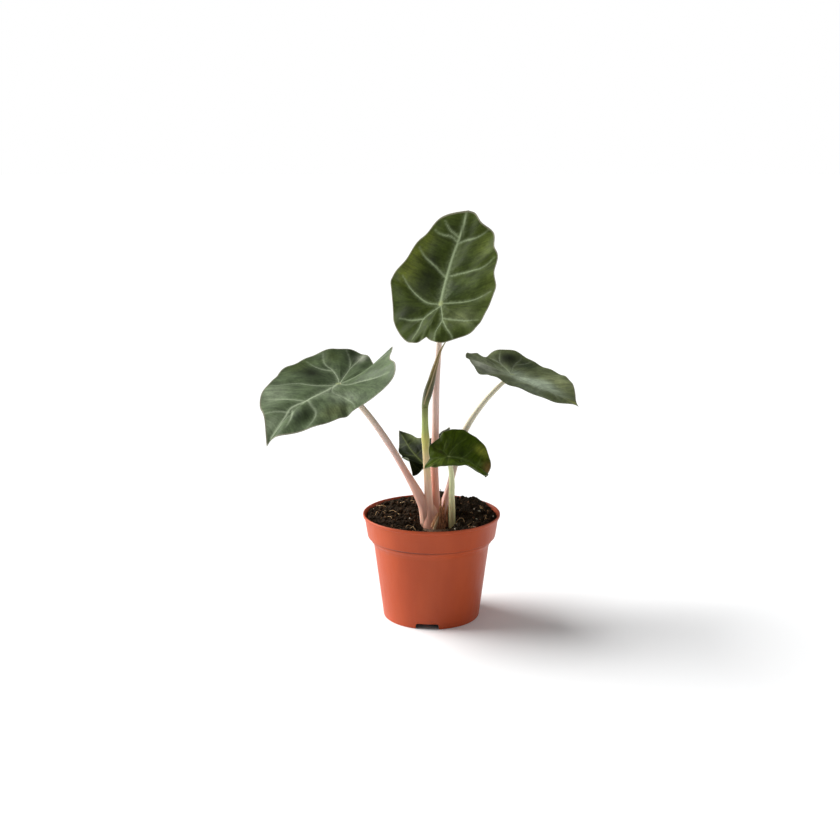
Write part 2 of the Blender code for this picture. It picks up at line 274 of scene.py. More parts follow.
# %% The drawn leaves
LIFT_POWER = 1.7
TIP_POWER = 3.0
TIP_SPREAD = 22.0
STATIONS = np.array((0, 9, 26, 50, 78, 106, 132, 155, 180), float)
LEAVES = {
    "top": {
        "at": (7.3, -4.0, 275.6),
        "pose": (-20, 47, 2),
        "tip": (7, 91, 14),
        "left": [(-15, 86, 12), (-32, 67, 5), (-49, 34, 0), (-48, 13, -1), (-40, -14, -6), (-29, -32, -6), (-15, -41, -2)],
        "right": [(14, 87, 14), (32, 70, 11), (42, 40, 9), (46, 11, 6), (42, -14, 5), (34, -31, 4), (13, -44, 5)],
        "notch": (-4, -35, 2),
        "waves": [(-124, 0.99), (-107, 1.01), (-90, 0.98), (-70, 1.01), (-54, 1.0), (-41, 0.95), (-30, 1.0), (-20, 0.975),
                  (-10, 1.0), (0, 1.0), (9, 1.015), (15, 0.985), (26, 1.025), (36, 0.975), (45, 1.025), (56, 0.955),
                  (72, 1.0), (91, 0.975), (125, 0.98), (150, 0.945), (165, 0.98)],
    },
    "left": {
        "at": (-78.6, -15.0, 209.8),
        "pose": (140, -6.5, -8),
        "tip": (-8, 92, -28),
        "left": [(-16, 91, -18), (-34, 74, -11), (-44, 47, -7), (-45, 25, -3), (-47, -16, 20), (-30, -33, 23), (-16, -50, 24)],
        "right": [(6, 82, -14), (28, 65, -8), (44, 37, -1), (52, 10, 3), (48, -18, 9), (35, -41, 13), (18, -52, 9)],
        "notch": (-4, -41, 7),
        "waves": [(-170, 1.05), (-158, 1.0), (-110, 1.0), (-92, 1.1), (-78, 1.0), (-67, 0.97), (-36, 0.99), (-18, 0.985), (0, 1.0),
                  (9, 0.985), (24, 1.0), (42, 1.02), (58, 1.0), (72, 1.035), (86, 0.99), (110, 1.035), (127, 1.0), (142, 1.03),
                  (152, 0.985), (166, 0.99)],
    },
    "right": {
        "at": (69.7, 20.0, 211.8),
        "pose": (-127, -13, -2),
        "tip": (4, 73, -4),
        "left": [(-6, 65, -5), (-25, 52, -1), (-40, 33, 4), (-44, 10, 3), (-41, -12, 8), (-29, -33, 10), (-15, -41, 1)],
        "right": [(12, 73, -2), (28, 58, 0), (38, 34, 2), (43, 10, 5), (39, -9, 3), (29, -26, 7), (18, -39, 7)],
        "notch": (3, -37, 8),
        "waves": [(-151, 0.96), (-143, 1.02), (-131, 1.0), (-111, 0.99), (-85, 1.0), (-65, 1.045), (-52, 1.0), (-37, 0.99), (0, 1.0),
                  (17, 0.96), (35, 1.03), (57, 0.95), (72, 0.99), (92, 0.97), (115, 1.025), (150, 1.0)],
    },
    "small_front": {
        "at": (14.1, -26.0, 149.0),
        "pose": (-101, -6, 19),
        "tip": (1, 33, -15),
        "left": [(-5, 36, -9), (-16, 31, 0), (-24, 20, 7), (-27, 6, 11), (-25, -7, 10), (-19, -13, 5), (-11, -19, 1)],
        "right": [(7, 36, -8), (16, 32, -2), (19, 20, 7), (23, 5, 6), (22, -7, 3), (18, -14, -2), (12, -17, -6)],
        "notch": (1, -16, -4),
        "waves": [(-155, 0.985), (-140, 0.97), (-114, 1.0), (0, 1.0), (47, 1.03), (80, 1.0), (120, 1.05), (160, 1.05)],
    },
    "small_rear": {
        "at": (-6.7, 35.0, 128.2),
        "pose": (24, 12, -24),
        "tip": (3, 61, 5),
        "left": [(-2, 52, 1), (-9, 38, 0), (-12, 20, 5), (-16, 6, 12), (-14, -7, 17), (-17, -19, 13), (-18, -25, 10)],
        "right": [(9, 54, 2), (13, 42, 2), (19, 25, 5), (28, 10, 14), (32, -3, 23), (26, -16, 22), (13, -25, 15)],
        "notch": (-5, -18, 9),
        "waves": [(-165, 1.06), (-140, 1.0), (-109, 0.96), (0, 1.0), (14, 0.97), (60, 1.0), (89, 1.06), (120, 1.0)],
    },
}


def margin(leaf, angles):
    """The leaf's edge at angles from -180, left of the notch, to 180, right of it."""
    left = np.array([leaf["tip"], *leaf["left"], leaf["notch"]], float)
    right = np.array([leaf["tip"], *leaf["right"], leaf["notch"]], float)
    on_left, on_right = spline(STATIONS, left, np.abs(angles)), spline(STATIONS, right, np.abs(angles))
    edge = np.where(angles[:, None] <= 0, on_left, on_right)
    stops = np.array([(-180, 1.0), *leaf["waves"], (180, 1.0)])
    return edge * [[1, 1, 0]] * spline(stops[:, 0], stops[:, 1:], angles) + edge * [[0, 0, 1]]


def leaf_turn(leaf):
    azimuth, pitch, roll = (math.radians(a) for a in leaf["pose"])
    return np.array(Euler((pitch, roll, azimuth), "YXZ").to_matrix())


# %% [markdown]
# The veins are what this plant is kept for: a broad silver midrib, side veins that swing out towards the
# margin, and strong ones into each back lobe. Each is drawn on the flat leaf, in millimetres across and
# along from the joint, and follows the sheet when the sheet is bent. The midrib comes first.

# %% The veins
UPRIGHT_VEINS = [
    [(0, -1), (-1, 16), (-1, 30), (0, 51), (3, 70), (6, 90)],
    [(-1, 0), (-12, 1), (-22, 7), (-31, 15), (-41, 28)],
    [(-1, 27), (-12, 37), (-28, 51), (-32, 57)],
    [(1, 64), (-5, 68), (-15, 70), (-21, 74)],
    [(2, 68), (-7, 74), (-13, 82)],
    [(0, 1), (10, 2), (20, 3), (34, 7), (42, 12)],
    [(-1, 29), (6, 31), (19, 34), (30, 37), (39, 46)],
    [(2, 62), (8, 65), (17, 66), (25, 71), (29, 76)],
    [(0, -2), (-7, -9), (-12, -15), (-14, -26), (-17, -36)],
    [(-12, -15), (-22, -16), (-34, -14)],
    [(0, -1), (3, -9), (5, -16), (3, -31), (5, -40)],
    [(5, -15), (17, -16), (28, -17), (37, -16)],
    [(5, -16), (11, -25), (18, -34), (21, -39)],
]
SPREADING_VEINS = [
    [(0, 0), (-4, 16), (-4, 46), (-1, 57), (-4, 67), (-7, 86)],
    [(-1, 5), (9, 15), (26, 24), (37, 38), (42, 44)],
    [(-4, 44), (8, 49), (25, 55), (34, 60)],
    [(-3, 62), (6, 68), (14, 78)],
    [(0, 0), (10, -8), (22, -14), (32, -16), (43, -25)],
    [(20, -13), (32, -8), (46, -8)],
    [(0, 0), (7, -14), (13, -27), (25, -39), (33, -44)],
    [(12, -25), (15, -38), (17, -50)],
    [(0, 0), (-4, -14), (-9, -28), (-18, -43)],
    [(-1, 1), (-8, -1), (-16, -7), (-32, -12), (-42, -16)],
    [(-2, 9), (-8, 17), (-22, 18), (-36, 22), (-43, 27)],
    [(-4, 42), (-11, 46), (-22, 51), (-29, 60), (-32, 70)],
    [(-3, 59), (-10, 66), (-17, 80)],
]
VEINS = {
    "top": UPRIGHT_VEINS,
    "left": SPREADING_VEINS,
    "right": [[(-across, along * 0.8) for across, along in vein] for vein in SPREADING_VEINS],
    "small_front": [[(across * 0.52, along * 0.38) for across, along in vein] for vein in UPRIGHT_VEINS],
    "small_rear": [[(across * 0.4, along * 0.6) for across, along in vein] for vein in UPRIGHT_VEINS],
}
print("veins on the top leaf:", len(VEINS["top"]))


def flat_line(stops, count=26):
    """A vein's stops as a smooth line on the flat leaf, in millimetres."""
    return through(stops, count)


def distance_to(points, line):
    """How far each point lies from a line, and how far along the line its nearest place is, 0 to 1."""
    best = np.full(len(points), 1e9)
    share = np.zeros(len(points))
    for k, (a, b) in enumerate(zip(line, line[1:])):
        along = b - a
        t = np.clip(((points - a) @ along) / max(along @ along, 1e-9), 0, 1)
        gap = np.linalg.norm(points - a - t[:, None] * along, axis=1)
        nearer = gap < best
        best = np.where(nearer, gap, best)
        share = np.where(nearer, (k + t) / (len(line) - 1), share)
    return best, share


# %% [markdown]
# Between the veins a leaf puffs up a little, and along each vein it sinks, while on the underside the
# veins stand out as ribs with the midrib as a keel. So the sheet gets an upper and a lower surface of
# its own, each with that relief, closed by a thin edge. How near a vein each point lies is kept as a
# mask, and so is the way the smallest veins run, out from the midrib and curving forwards: the leaf's
# colours use both later.

# %% Building a blade
MIDRIB_W = 1.25
VEIN_W = 0.6
PUFF = 1.5
LEAF_T = 0.5


def leaf_masks(veins, flat, share_out, size):
    """Midrib, side veins, the paler skin beside them and the puffing between, for points of a leaf."""
    midrib = np.zeros(len(flat))
    side = np.zeros(len(flat))
    glow = np.zeros(len(flat))
    nearest = np.full(len(flat), 1e9)
    for i, stops in enumerate(veins):
        gap, share = distance_to(flat, flat_line(stops))
        wide = (MIDRIB_W * (1 - 0.55 * share) if i == 0 else VEIN_W * (1 - 0.45 * share)) * size
        line = np.exp(-((gap / wide) ** 2))
        halo = np.exp(-((gap / ((4.4 if i == 0 else 1.7) * size * (1.15 - 0.6 * share))) ** 2))
        nearest = np.minimum(nearest, gap + 2.5 * size * share**3)
        glow = np.maximum(glow, halo * (1 - 0.4 * share))
        if i == 0:
            midrib = line
        else:
            side = np.maximum(side, line * smooth_step((1 - share) / 0.5))
    puff = 1 - np.exp(-((nearest / (6.5 * size)) ** 2))
    return midrib, side, glow, puff * smooth_step((1 - share_out) / 0.35)


def flow_of(flat, angles, size):
    """Across and along the smallest veins. Both run out from the midrib ahead of the joint, and
    straight out from the joint behind it."""
    across, along = flat.T / size
    ahead = smooth_step((along + 5) / 10)
    forwards = along - 0.22 * np.abs(across) - 0.005 * across**2
    return ahead * forwards + (1 - ahead) * angles * 0.3, np.hypot(across, along * (1 - 0.8 * ahead))


def blade_mesh(name, key, round_steps, rings, size):
    leaf, veins = LEAVES[key], VEINS[key]
    angles = np.linspace(-180, 180, round_steps, endpoint=False)
    shares = 1 - (1 - np.linspace(0, 1, rings + 1)[1:]) ** 1.25
    edge = margin(leaf, angles)
    power = LIFT_POWER + (TIP_POWER - LIFT_POWER) * np.exp(-((angles / TIP_SPREAD) ** 2))
    share = np.repeat(shares, round_steps)
    flat = (shares[:, None, None] * edge[None, :, :2]).reshape(-1, 2)
    lift = (edge[None, :, 2] * shares[:, None] ** power[None]).reshape(-1)
    turn = np.tile(np.radians(angles), rings)
    wave = 0.8 * size * np.sin(turn * 9 + 1.3) + 0.5 * size * np.sin(turn * 17 + len(key))
    lift = lift + wave * smooth_step((share - 0.6) / 0.4)
    sheet = np.c_[flat, lift].reshape(rings, round_steps, 3)
    out = np.gradient(sheet, axis=0)
    around = (np.roll(sheet, -1, axis=1) - np.roll(sheet, 1, axis=1)) / 2
    normal = np.cross(around, out).reshape(-1, 3)
    normal /= np.linalg.norm(normal, axis=1)[:, None] + 1e-9
    normal *= np.sign(normal[:, 2].mean())
    midrib, side, glow, puff = leaf_masks(veins, flat, share, size)
    relief = size * (PUFF * puff - 0.25 * side + 0.25 * midrib)
    keel = size * (1.5 * (1 - 0.8 * share) * midrib + 0.45 * side)
    thick = LEAF_T * (1 - 0.55 * smooth_step((share - 0.8) / 0.2))
    points = sheet.reshape(-1, 3)
    upper = points + normal * relief[:, None]
    lower = points + normal * (relief * 0.9 - thick - keel)[:, None]
    middle_up, middle_low = np.array([[0, 0, 0.2 * size]]), np.array([[0, 0, -2.0 * size]])
    local = np.r_[middle_up, upper, middle_low, lower]
    world = local @ leaf_turn(leaf).T + np.array(leaf["at"])
    flow, reach = flow_of(flat, np.tile(angles, rings), size)

    def both(values, at_joint):
        return np.r_[at_joint, values, at_joint, values]

    masks = {
        "under": np.r_[np.zeros(1 + len(points)), np.ones(1 + len(points))],
        "midrib": both(midrib, 1),
        "vein": both(side, 0.5),
        "glow": both(glow, 1),
        "puff": both(puff, 0),
        "share": both(share, 0),
        "turn": both(np.tile(angles / 180, rings), 0),
        "flow": both(flow, 0),
        "reach": both(reach, 0),
    }
    mesh = mesh_of(name, world, blade_faces(round_steps, rings), masks)
    tone = leaf_tone(key, local[:, :2])
    mesh.attributes.new("tone", "FLOAT_COLOR", "POINT").data.foreach_set("color", tone.ravel())
    return mesh


def blade_faces(n, rings):
    """Faces for two stacked round sheets and the edge between them."""
    k = np.arange(n)
    after = (k + 1) % n
    low = 1 + n * rings
    faces = []
    for base, flip in ((0, False), (low, True)):
        fan = np.c_[np.full(n, base), base + 1 + after, base + 1 + k]
        quads = []
        for ring in range(rings - 1):
            a, b = base + 1 + ring * n, base + 1 + (ring + 1) * n
            quads.append(np.c_[a + k, a + after, b + after, b + k])
        quads = np.concatenate(quads)
        faces += (fan[:, ::-1] if flip else fan).tolist()
        faces += (quads[:, ::-1] if flip else quads).tolist()
    top, bottom = 1 + (rings - 1) * n, low + 1 + (rings - 1) * n
    faces += np.c_[top + k, top + after, bottom + after, bottom + k].tolist()
    return faces


# %% [markdown]
# The skin between the veins is brushed with fine light and dark streaks that run the way the smallest
# veins do. Every leaf has them, so they are a node group, which also gives broader clouds of tone.

# %% The shared streaks of a leaf
def make_streak_group():
    tree = bpy.data.node_groups.new("leaf_streaks", "ShaderNodeTree")
    for key in ("Across", "Along"):
        tree.interface.new_socket(key, in_out="INPUT", socket_type="NodeSocketFloat")
    for out in ("Streaks", "Clouds"):
        tree.interface.new_socket(out, in_out="OUTPUT", socket_type="NodeSocketFloat")
    inside, outside = tree.nodes.new("NodeGroupInput"), tree.nodes.new("NodeGroupOutput")
    for out, across, along, detail in (("Streaks", 0.5, 0.11, 3.0), ("Clouds", 0.12, 0.08, 3.0)):
        place = node(tree, "ShaderNodeCombineXYZ")
        tree.links.new(times(tree, inside.outputs["Across"], across), place.inputs["X"])
        tree.links.new(times(tree, inside.outputs["Along"], along), place.inputs["Y"])
        pattern = node(tree, "ShaderNodeTexNoise", Scale=1.0, Detail=detail, Roughness=0.6)
        tree.links.new(place.outputs[0], pattern.inputs["Vector"])
        tree.links.new(pattern.outputs["Fac"], outside.inputs[out])
    return tree


STREAKS = make_streak_group()

# %% [markdown]
# No leaf is one green. A small palette holds the colours that come back from leaf to leaf: olive and
# straw where it has aged and brown at a dying tip, which are its own colours, deep greens that are
# partly its own mottling and partly painted shade between puffed-up veins, the darkest green painted
# shade on a half turned from the light, and pale greys painted glare where a leaf catches the light.

# %% The leaf palette
# The darkest green paints shade on the right leaf's rear half. The deep greens are partly painted shade.
NIGHT, DEEP, PINE = rgb(12, 16, 2), rgb(22, 29, 7), rgb(42, 54, 28)
LEAF, MOSS, OLIVE = rgb(56, 67, 24), rgb(70, 82, 40), rgb(76, 84, 18)
GRASS, EMERALD, BOTTLE = rgb(90, 112, 12), rgb(62, 80, 3), rgb(42, 58, 2)
FRESH, SAGE, SLATE = rgb(85, 96, 42), rgb(102, 111, 72), rgb(82, 96, 66)
# The greys on this line paint glare where the leaves catch the light.
GLARE_GREY, ASH, FROST = rgb(132, 144, 116), rgb(176, 179, 160), rgb(194, 208, 180)
STRAW, STEM_GREEN, BROWN = rgb(146, 152, 55), rgb(162, 170, 120), rgb(116, 88, 44)
LEAF_GROUND = {"top": LEAF, "left": SLATE, "right": SAGE, "small_front": EMERALD, "small_rear": DEEP}

# %% [markdown]
# Each leaf is its ground colour with soft patches laid over it. A patch has its place on the flat leaf,
# across and along, its half width and half length in millimetres, its colour and its strength. The
# patches mix the leaf's own mottling with painted shade and painted glare.

# %% Patches on each leaf
LEAF_PATCHES = {
    # Top leaf: the deep green patches are partly its own mottling and partly painted shade between the veins.
    "top": [
        (-17, 24, 12, 13, DEEP, 0.9), (-18, 45, 8, 9, DEEP, 0.8), (-28, -10, 9, 9, DEEP, 0.7),
        (10, 13, 8, 9, PINE, 0.75), (-5, 75, 9, 7, DEEP, 0.6), (11, 74, 7, 7, DEEP, 0.65),
        (-38, 34, 11, 15, OLIVE, 0.9), (-35, 53, 9, 9, OLIVE, 0.8), (-26, 66, 8, 8, OLIVE, 0.6),
        (24, 20, 12, 10, MOSS, 0.65), (22, -14, 14, 8, SAGE, 0.85), (-10, -27, 8, 8, MOSS, 0.5),
        (27, 58, 9, 14, FRESH, 0.85), (40, 20, 6, 20, FRESH, 0.6), (-15, 8, 10, 6, DEEP, 0.4),
        (12, 45, 10, 8, PINE, 0.35),
    ],
    # Left leaf: the pale grey patches paint glare on its front, and the deep ones are partly painted shade.
    "left": [
        (30, 3, 15, 9, DEEP, 0.9), (14, 9, 9, 7, PINE, 0.75), (47, 2, 8, 14, MOSS, 0.8),
        (34, -27, 10, 10, MOSS, 0.7), (26, -44, 8, 6, DEEP, 0.75), (15, -45, 5, 6, ASH, 0.7),
        (30, 50, 13, 14, GLARE_GREY, 0.9), (-20, 63, 11, 12, PINE, 0.9), (-34, 40, 8, 14, SAGE, 0.9),
        (-20, 21, 12, 10, GLARE_GREY, 0.85), (1, 80, 6, 9, GLARE_GREY, 0.9), (-9, 90, 7, 9, PINE, 0.8),
        (4, -34, 4, 8, PINE, 0.7), (-20, -40, 10, 8, GLARE_GREY, 0.3), (-30, -46, 3, 4, DEEP, 0.9),
        (-16, -52, 5, 6, DEEP, 0.9),
    ],
    # Right leaf: the darkest patches paint shade on its rear half, and the pale grey ones paint glare.
    "right": [
        (-22, -20, 14, 14, NIGHT, 0.95), (-30, -3, 12, 10, PINE, 0.9), (-6, 0, 8, 5, DEEP, 0.9),
        (1, 22, 12, 26, FROST, 0.95), (-9, 33, 9, 10, FROST, 0.8), (22, -18, 15, 15, ASH, 0.9),
        (-6, -31, 5, 7, MOSS, 0.8), (-25, 36, 10, 12, STEM_GREEN, 0.85), (28, 34, 8, 14, GLARE_GREY, 0.8),
        (0, 66, 8, 6, STRAW, 0.9), (14, 52, 7, 8, FRESH, 0.6),
    ],
    "small_front": [
        (-9, -9, 10, 9, OLIVE, 0.3), (-15, 26, 4, 6, STRAW, 0.85), (-3, 35, 6, 5, BROWN, 0.95),
        (12, -4, 8, 14, GRASS, 0.75), (-6, 10, 8, 8, BOTTLE, 0.7), (10, 22, 7, 8, GRASS, 0.75),
    ],
    "small_rear": [(11, 46, 5, 13, SAGE, 0.9), (-12, -11, 8, 8, PINE, 0.6), (6, 20, 7, 12, NIGHT, 0.5)],
}


def leaf_tone(key, flat):
    """The ground colour with its patches, as a colour for every point of the flat leaf."""
    tone = np.tile(LEAF_GROUND[key], (len(flat), 1))
    for across, along, wide, long, colour, strength in LEAF_PATCHES[key]:
        near = np.exp(-(((flat[:, 0] - across) / wide) ** 2) - ((flat[:, 1] - along) / long) ** 2)
        tone += (strength * near)[:, None] * (np.array(colour) - tone)
    return tone


# %% [markdown]
# The skin on top: the patches brushed with streaks, greyer beside the veins, silver along them, and a
# pale hair-line at the margin. The underside is greyer and duller, with its veins a little paler. Wax
# gives a satin sheen that varies from place to place.

# %% Leaf material
def leaf_material(name, silver, veins=1.0, sheen=0.46, gloss=0.1):
    made, tree, surface = new_material(name)
    skin = grain(tree, 420)
    streaks = tree.nodes.new("ShaderNodeGroup")
    streaks.node_tree = STREAKS
    tree.links.new(mask_of(tree, "flow"), streaks.inputs["Across"])
    tree.links.new(mask_of(tree, "reach"), streaks.inputs["Along"])
    light = times(tree, ramp(tree, streaks.outputs["Clouds"], 0.36, 0.66, 0.28, 0.66),
                  ramp(tree, streaks.outputs["Streaks"], 0.34, 0.7, 0.34, 0.66), "ADD")
    light = times(tree, light, ramp(tree, skin["Fine"], 0.3, 0.7, 0.9, 1.1))
    tone = node(tree, "ShaderNodeAttribute", attribute_name="tone").outputs["Color"]
    shaded = node(tree, "ShaderNodeVectorMath", operation="SCALE")
    tree.links.new(tone, shaded.inputs[0])
    tree.links.new(light, shaded.inputs["Scale"])
    green = shaded.outputs[0]
    beside = times(tree, mask_of(tree, "glow"), ramp(tree, skin["Fine"], 0.25, 0.72, 0.12 * veins, 0.42 * veins))
    green = blend(tree, beside, green, silver)
    green = blend(tree, times(tree, mask_of(tree, "vein"), 0.52 * veins), green, silver)
    green = blend(tree, times(tree, mask_of(tree, "midrib"), 0.9 * veins), green, silver)
    green = blend(tree, ramp(tree, mask_of(tree, "share"), 0.015, 0.06, 0.6, 0.0), green, rgb(168, 178, 120))
    green = blend(tree, ramp(tree, mask_of(tree, "share"), 0.976, 0.994, 0.0, 0.8), green, rgb(140, 136, 116))
    below = blend(tree, times(tree, mask_of(tree, "midrib"), 0.7), rgb(82, 96, 62), rgb(164, 150, 120))
    below = blend(tree, times(tree, mask_of(tree, "vein"), 0.5), below, rgb(136, 138, 102))
    tree.links.new(blend(tree, mask_of(tree, "under"), green, below), surface.inputs["Base Color"])
    tree.links.new(ramp(tree, streaks.outputs["Streaks"], 0.3, 0.75, sheen - 0.06, sheen + 0.1),
                   surface.inputs["Roughness"])
    surface.inputs["Specular IOR Level"].default_value = gloss
    height = times(tree, skin["Fine"], streaks.outputs["Streaks"], "ADD")
    bump(tree, surface, height, 0.0002, 0.5)
    return made


LEAF_LOOKS = {
    "top": leaf_material("leaf_top", rgb(158, 172, 134), gloss=0.05),
    "left": leaf_material("leaf_left", rgb(168, 180, 150)),
    "right": leaf_material("leaf_right", rgb(150, 158, 132), veins=0.5, sheen=0.52, gloss=0.12),
    "small_front": leaf_material("leaf_small_front", rgb(140, 160, 90), veins=0.36, sheen=0.36, gloss=0.15),
    "small_rear": leaf_material("leaf_small_rear", rgb(112, 122, 62), veins=0.35, sheen=0.5, gloss=0.05),
}
for leaf_key, (round_steps, rings, leaf_size) in {
    "top": (600, 76, 1.0),
    "left": (600, 76, 1.0),
    "right": (440, 64, 0.95),
    "small_front": (320, 48, 0.6),
    "small_rear": (320, 48, 0.6),
}.items():
    blade = blade_mesh("leaf_" + leaf_key, leaf_key, round_steps, rings, leaf_size)
    finish_piece("leaf_" + leaf_key, blade, LEAF_LOOKS[leaf_key], "blade", "blade_" + leaf_key)

# %% [markdown]
# ## Stalks
# A leaf stalk is a juicy round stem, stouter at its foot, with faint ribs along it and a shallow channel
# on the side that faces the leaf. Each is a tube along a smooth line whose radius rides on the line,
# with faint ribs and slight swellings but no channel.

# %% Building a stalk
STALKS = {
    "top": [(4.0, -8, 74, 5.8), (4.2, -6.6, 88, 5.4), (3.4, -2.6, 103, 4.3), (2.4, 2.4, 132, 3.5), (3.4, 3, 169, 3.1),
            (3.8, 3, 203, 2.9), (6.1, 1, 239, 2.3)],
    "left": [(-3.6, -6, 74, 5.6), (-4.8, -6.5, 88, 5.2), (-7.2, -7.2, 101, 4.8), (-11, -8, 110, 4.5),
             (-15.4, -8.4, 118.7, 3.7), (-19.6, -8, 126, 3.2), (-38, -7.4, 157.5, 2.9), (-60.5, -9, 189, 2.5)],
    "right": [(8.6, 0.5, 74, 4.8), (10.2, 3.6, 92, 4.1), (12.6, 6.4, 103, 3.4), (15.6, 8.1, 113, 2.9),
              (20, 9, 131.5, 2.9), (30, 11, 165, 2.8), (46, 14, 188.5, 2.4)],
    "small_front": [(17.6, -11.2, 74, 3.2), (17.6, -12, 95, 2.9), (17.3, -15, 109.6, 2.6), (16.6, -20, 134, 2.2)],
    "small_rear": [(1.2, 8.0, 74, 3.2), (-0.9, 14, 100, 2.4), (-4, 26, 117, 1.9)],
}
STALK_END_R = {"top": 1.9, "left": 2.1, "right": 1.7, "small_front": 1.5, "small_rear": 1.3}
NEW_STALK = [(-0.8, -8.8, 74, 5.2), (-1.2, -8.6, 88, 4.6), (-2.3, -8, 104, 3.7), (-4.1, -7.6, 134, 3.1),
             (-5.2, -7.8, 155, 3.2), (-5.4, -7.9, 161, 3.6), (-5.6, -8, 167, 3.1), (-5.8, -8.3, 188.5, 2.85)]


STREAK_STRETCH = 9.0


def tube_rings(line):
    """Centres, side and front directions and radii along a stalk."""
    centre = line[:, :3]
    along = np.gradient(centre, axis=0)
    along /= np.linalg.norm(along, axis=1)[:, None]
    side = np.cross(along, (0.0, 1.0, 0.0))
    side /= np.linalg.norm(side, axis=1)[:, None]
    return centre, side, np.cross(along, side), line[:, 3]


def tube_mesh(name, line, shape, sides=48, edge=None):
    """A closed tube. shape(turn, share) scales the radius, for ribs and channels."""
    centre, side, front, radius = tube_rings(line)
    count = len(centre)
    turn = np.linspace(0, 2 * np.pi, sides, endpoint=False)
    share = np.linspace(0, 1, count)
    scale = shape(turn[None, :], share[:, None]) * radius[:, None]
    points = centre[:, None] + scale[..., None] * (
        np.cos(turn)[None, :, None] * side[:, None] + np.sin(turn)[None, :, None] * front[:, None]
    )
    points = np.r_[points.reshape(-1, 3), centre[:1], centre[-1:]]
    k = np.arange(sides)
    after = (k + 1) % sides
    faces = []
    for ring in range(count - 1):
        a, b = ring * sides, (ring + 1) * sides
        faces += np.c_[a + k, a + after, b + after, b + k].tolist()
    last = (count - 1) * sides
    faces += np.c_[after, k, np.full(sides, count * sides)].tolist()
    faces += np.c_[last + k, last + after, np.full(sides, count * sides + 1)].tolist()
    masks = {"share": np.r_[np.repeat(share, sides), 0, 1], "height": points[:, 2]}
    if edge:
        masks["edge"] = np.r_[edge(turn[None, :], share[:, None]).ravel(), 0, 0]
    length = np.r_[0, np.cumsum(np.linalg.norm(np.diff(centre, axis=0), axis=1))]
    skin = np.stack([radius[:, None] * np.cos(turn), radius[:, None] * np.sin(turn),
                     np.repeat(length[:, None] / STREAK_STRETCH, sides, axis=1)], -1).reshape(-1, 3)
    mesh = mesh_of(name, points, faces, masks)
    skin = np.r_[skin, [[0, 0, 0], [0, 0, length[-1] / STREAK_STRETCH]]]
    mesh.attributes.new("skin", "FLOAT_VECTOR", "POINT").data.foreach_set("vector", skin.ravel())
    return mesh


def ribbed(turn, share):
    """Faint ribs that fade upwards, and slight swellings along the stalk."""
    ribs = 0.016 * np.cos(turn * 11) + 0.01 * np.cos(turn * 17 + 2)
    return 1 + ribs * (1 - 0.5 * share) + 0.012 * np.sin(share * 23 + turn * 2)


def joint_end(key):
    """Where a stalk meets its blade, just inside the underside's keel."""
    leaf = LEAVES[key]
    below = leaf_turn(leaf) @ np.array((0, 0, -1.0))
    return (*(np.array(leaf["at"]) + below * 1.0), STALK_END_R[key] * 0.9)


# %% [markdown]
# Stalk skin runs from dusky rose at the foot to paler or greener near the leaf, streaked lengthways and
# finely speckled. The streaks are noise read in the tube's own measure, round it and along it, so that
# they follow a leaning stalk too.

# %% Stalk material
def lengthways(tree, scale):
    """Noise drawn out along a tube."""
    place = node(tree, "ShaderNodeAttribute", attribute_name="skin").outputs["Vector"]
    pattern = node(tree, "ShaderNodeTexNoise", Scale=scale, Detail=3.0)
    tree.links.new(place, pattern.inputs["Vector"])
    return pattern.outputs["Fac"]


def stalk_material(name, colours):
    """colours is a list of (height in millimetres, colour) from the foot up."""
    made, tree, surface = new_material(name)
    streaks = {"Fine": lengthways(tree, 0.55)}
    specks = grain(tree, 1500)
    height = mask_of(tree, "height")
    colour = colours[0][1]
    for (low, _), (high, upper) in zip(colours, colours[1:]):
        colour = blend(tree, ramp(tree, height, low, high), colour, upper)
    dark = blend(tree, 0.4, colour, rgb(128, 68, 50))
    colour = blend(tree, ramp(tree, streaks["Fine"], 0.45, 0.8, 0.0, 0.38), colour, dark)
    colour = blend(tree, ramp(tree, specks["Fine"], 0.62, 0.72, 0.0, 0.16), colour, rgb(225, 200, 180))
    tree.links.new(colour, surface.inputs["Base Color"])
    tree.links.new(ramp(tree, streaks["Fine"], 0.3, 0.7, 0.32, 0.5), surface.inputs["Roughness"])
    surface.inputs["Subsurface Weight"].default_value = 0.15
    surface.inputs["Subsurface Radius"].default_value = (0.003, 0.0015, 0.001)
    bump(tree, surface, streaks["Fine"], 0.00006, 0.5)
    return made


PINK, ROSE, DEEP_ROSE = rgb(230, 194, 182), rgb(222, 170, 154), rgb(220, 152, 130)
BEIGE, LIGHT_GREEN, YELLOW_GREEN = rgb(200, 186, 162), rgb(218, 222, 172), rgb(208, 202, 110)
STALK_COLOURS = {
    "top": [(74, rgb(226, 150, 124)), (118, DEEP_ROSE), (150, ROSE), (190, PINK), (262, rgb(222, 202, 184))],
    "left": [(74, rgb(250, 194, 168)), (108, rgb(240, 186, 166)), (130, ROSE), (150, rgb(214, 182, 170)), (196, rgb(214, 198, 178))],
    "right": [(74, rgb(210, 140, 104)), (104, ROSE), (140, BEIGE), (190, rgb(214, 206, 180))],
    "small_front": [(74, rgb(208, 186, 128)), (96, rgb(222, 212, 158)), (122, LIGHT_GREEN)],
    "small_rear": [(74, DEEP_ROSE), (120, BEIGE)],
}
CROWN = [(0.6, -7, 72, 6.9), (0.4, -7, 84, 6.6), (-0.4, -6.2, 93, 5.7), (-1.2, -5.4, 99, 4.2), (-1.6, -5, 103, 1.6)]
crown = tube_mesh("crown", through(CROWN, 60), lambda turn, share: 1 + 0.34 * np.abs(np.cos(turn)) ** 1.6)
finish_piece("crown", crown, stalk_material("crown_skin", [(74, rgb(248, 184, 158)), (104, rgb(242, 184, 162))]),
             "petiole")
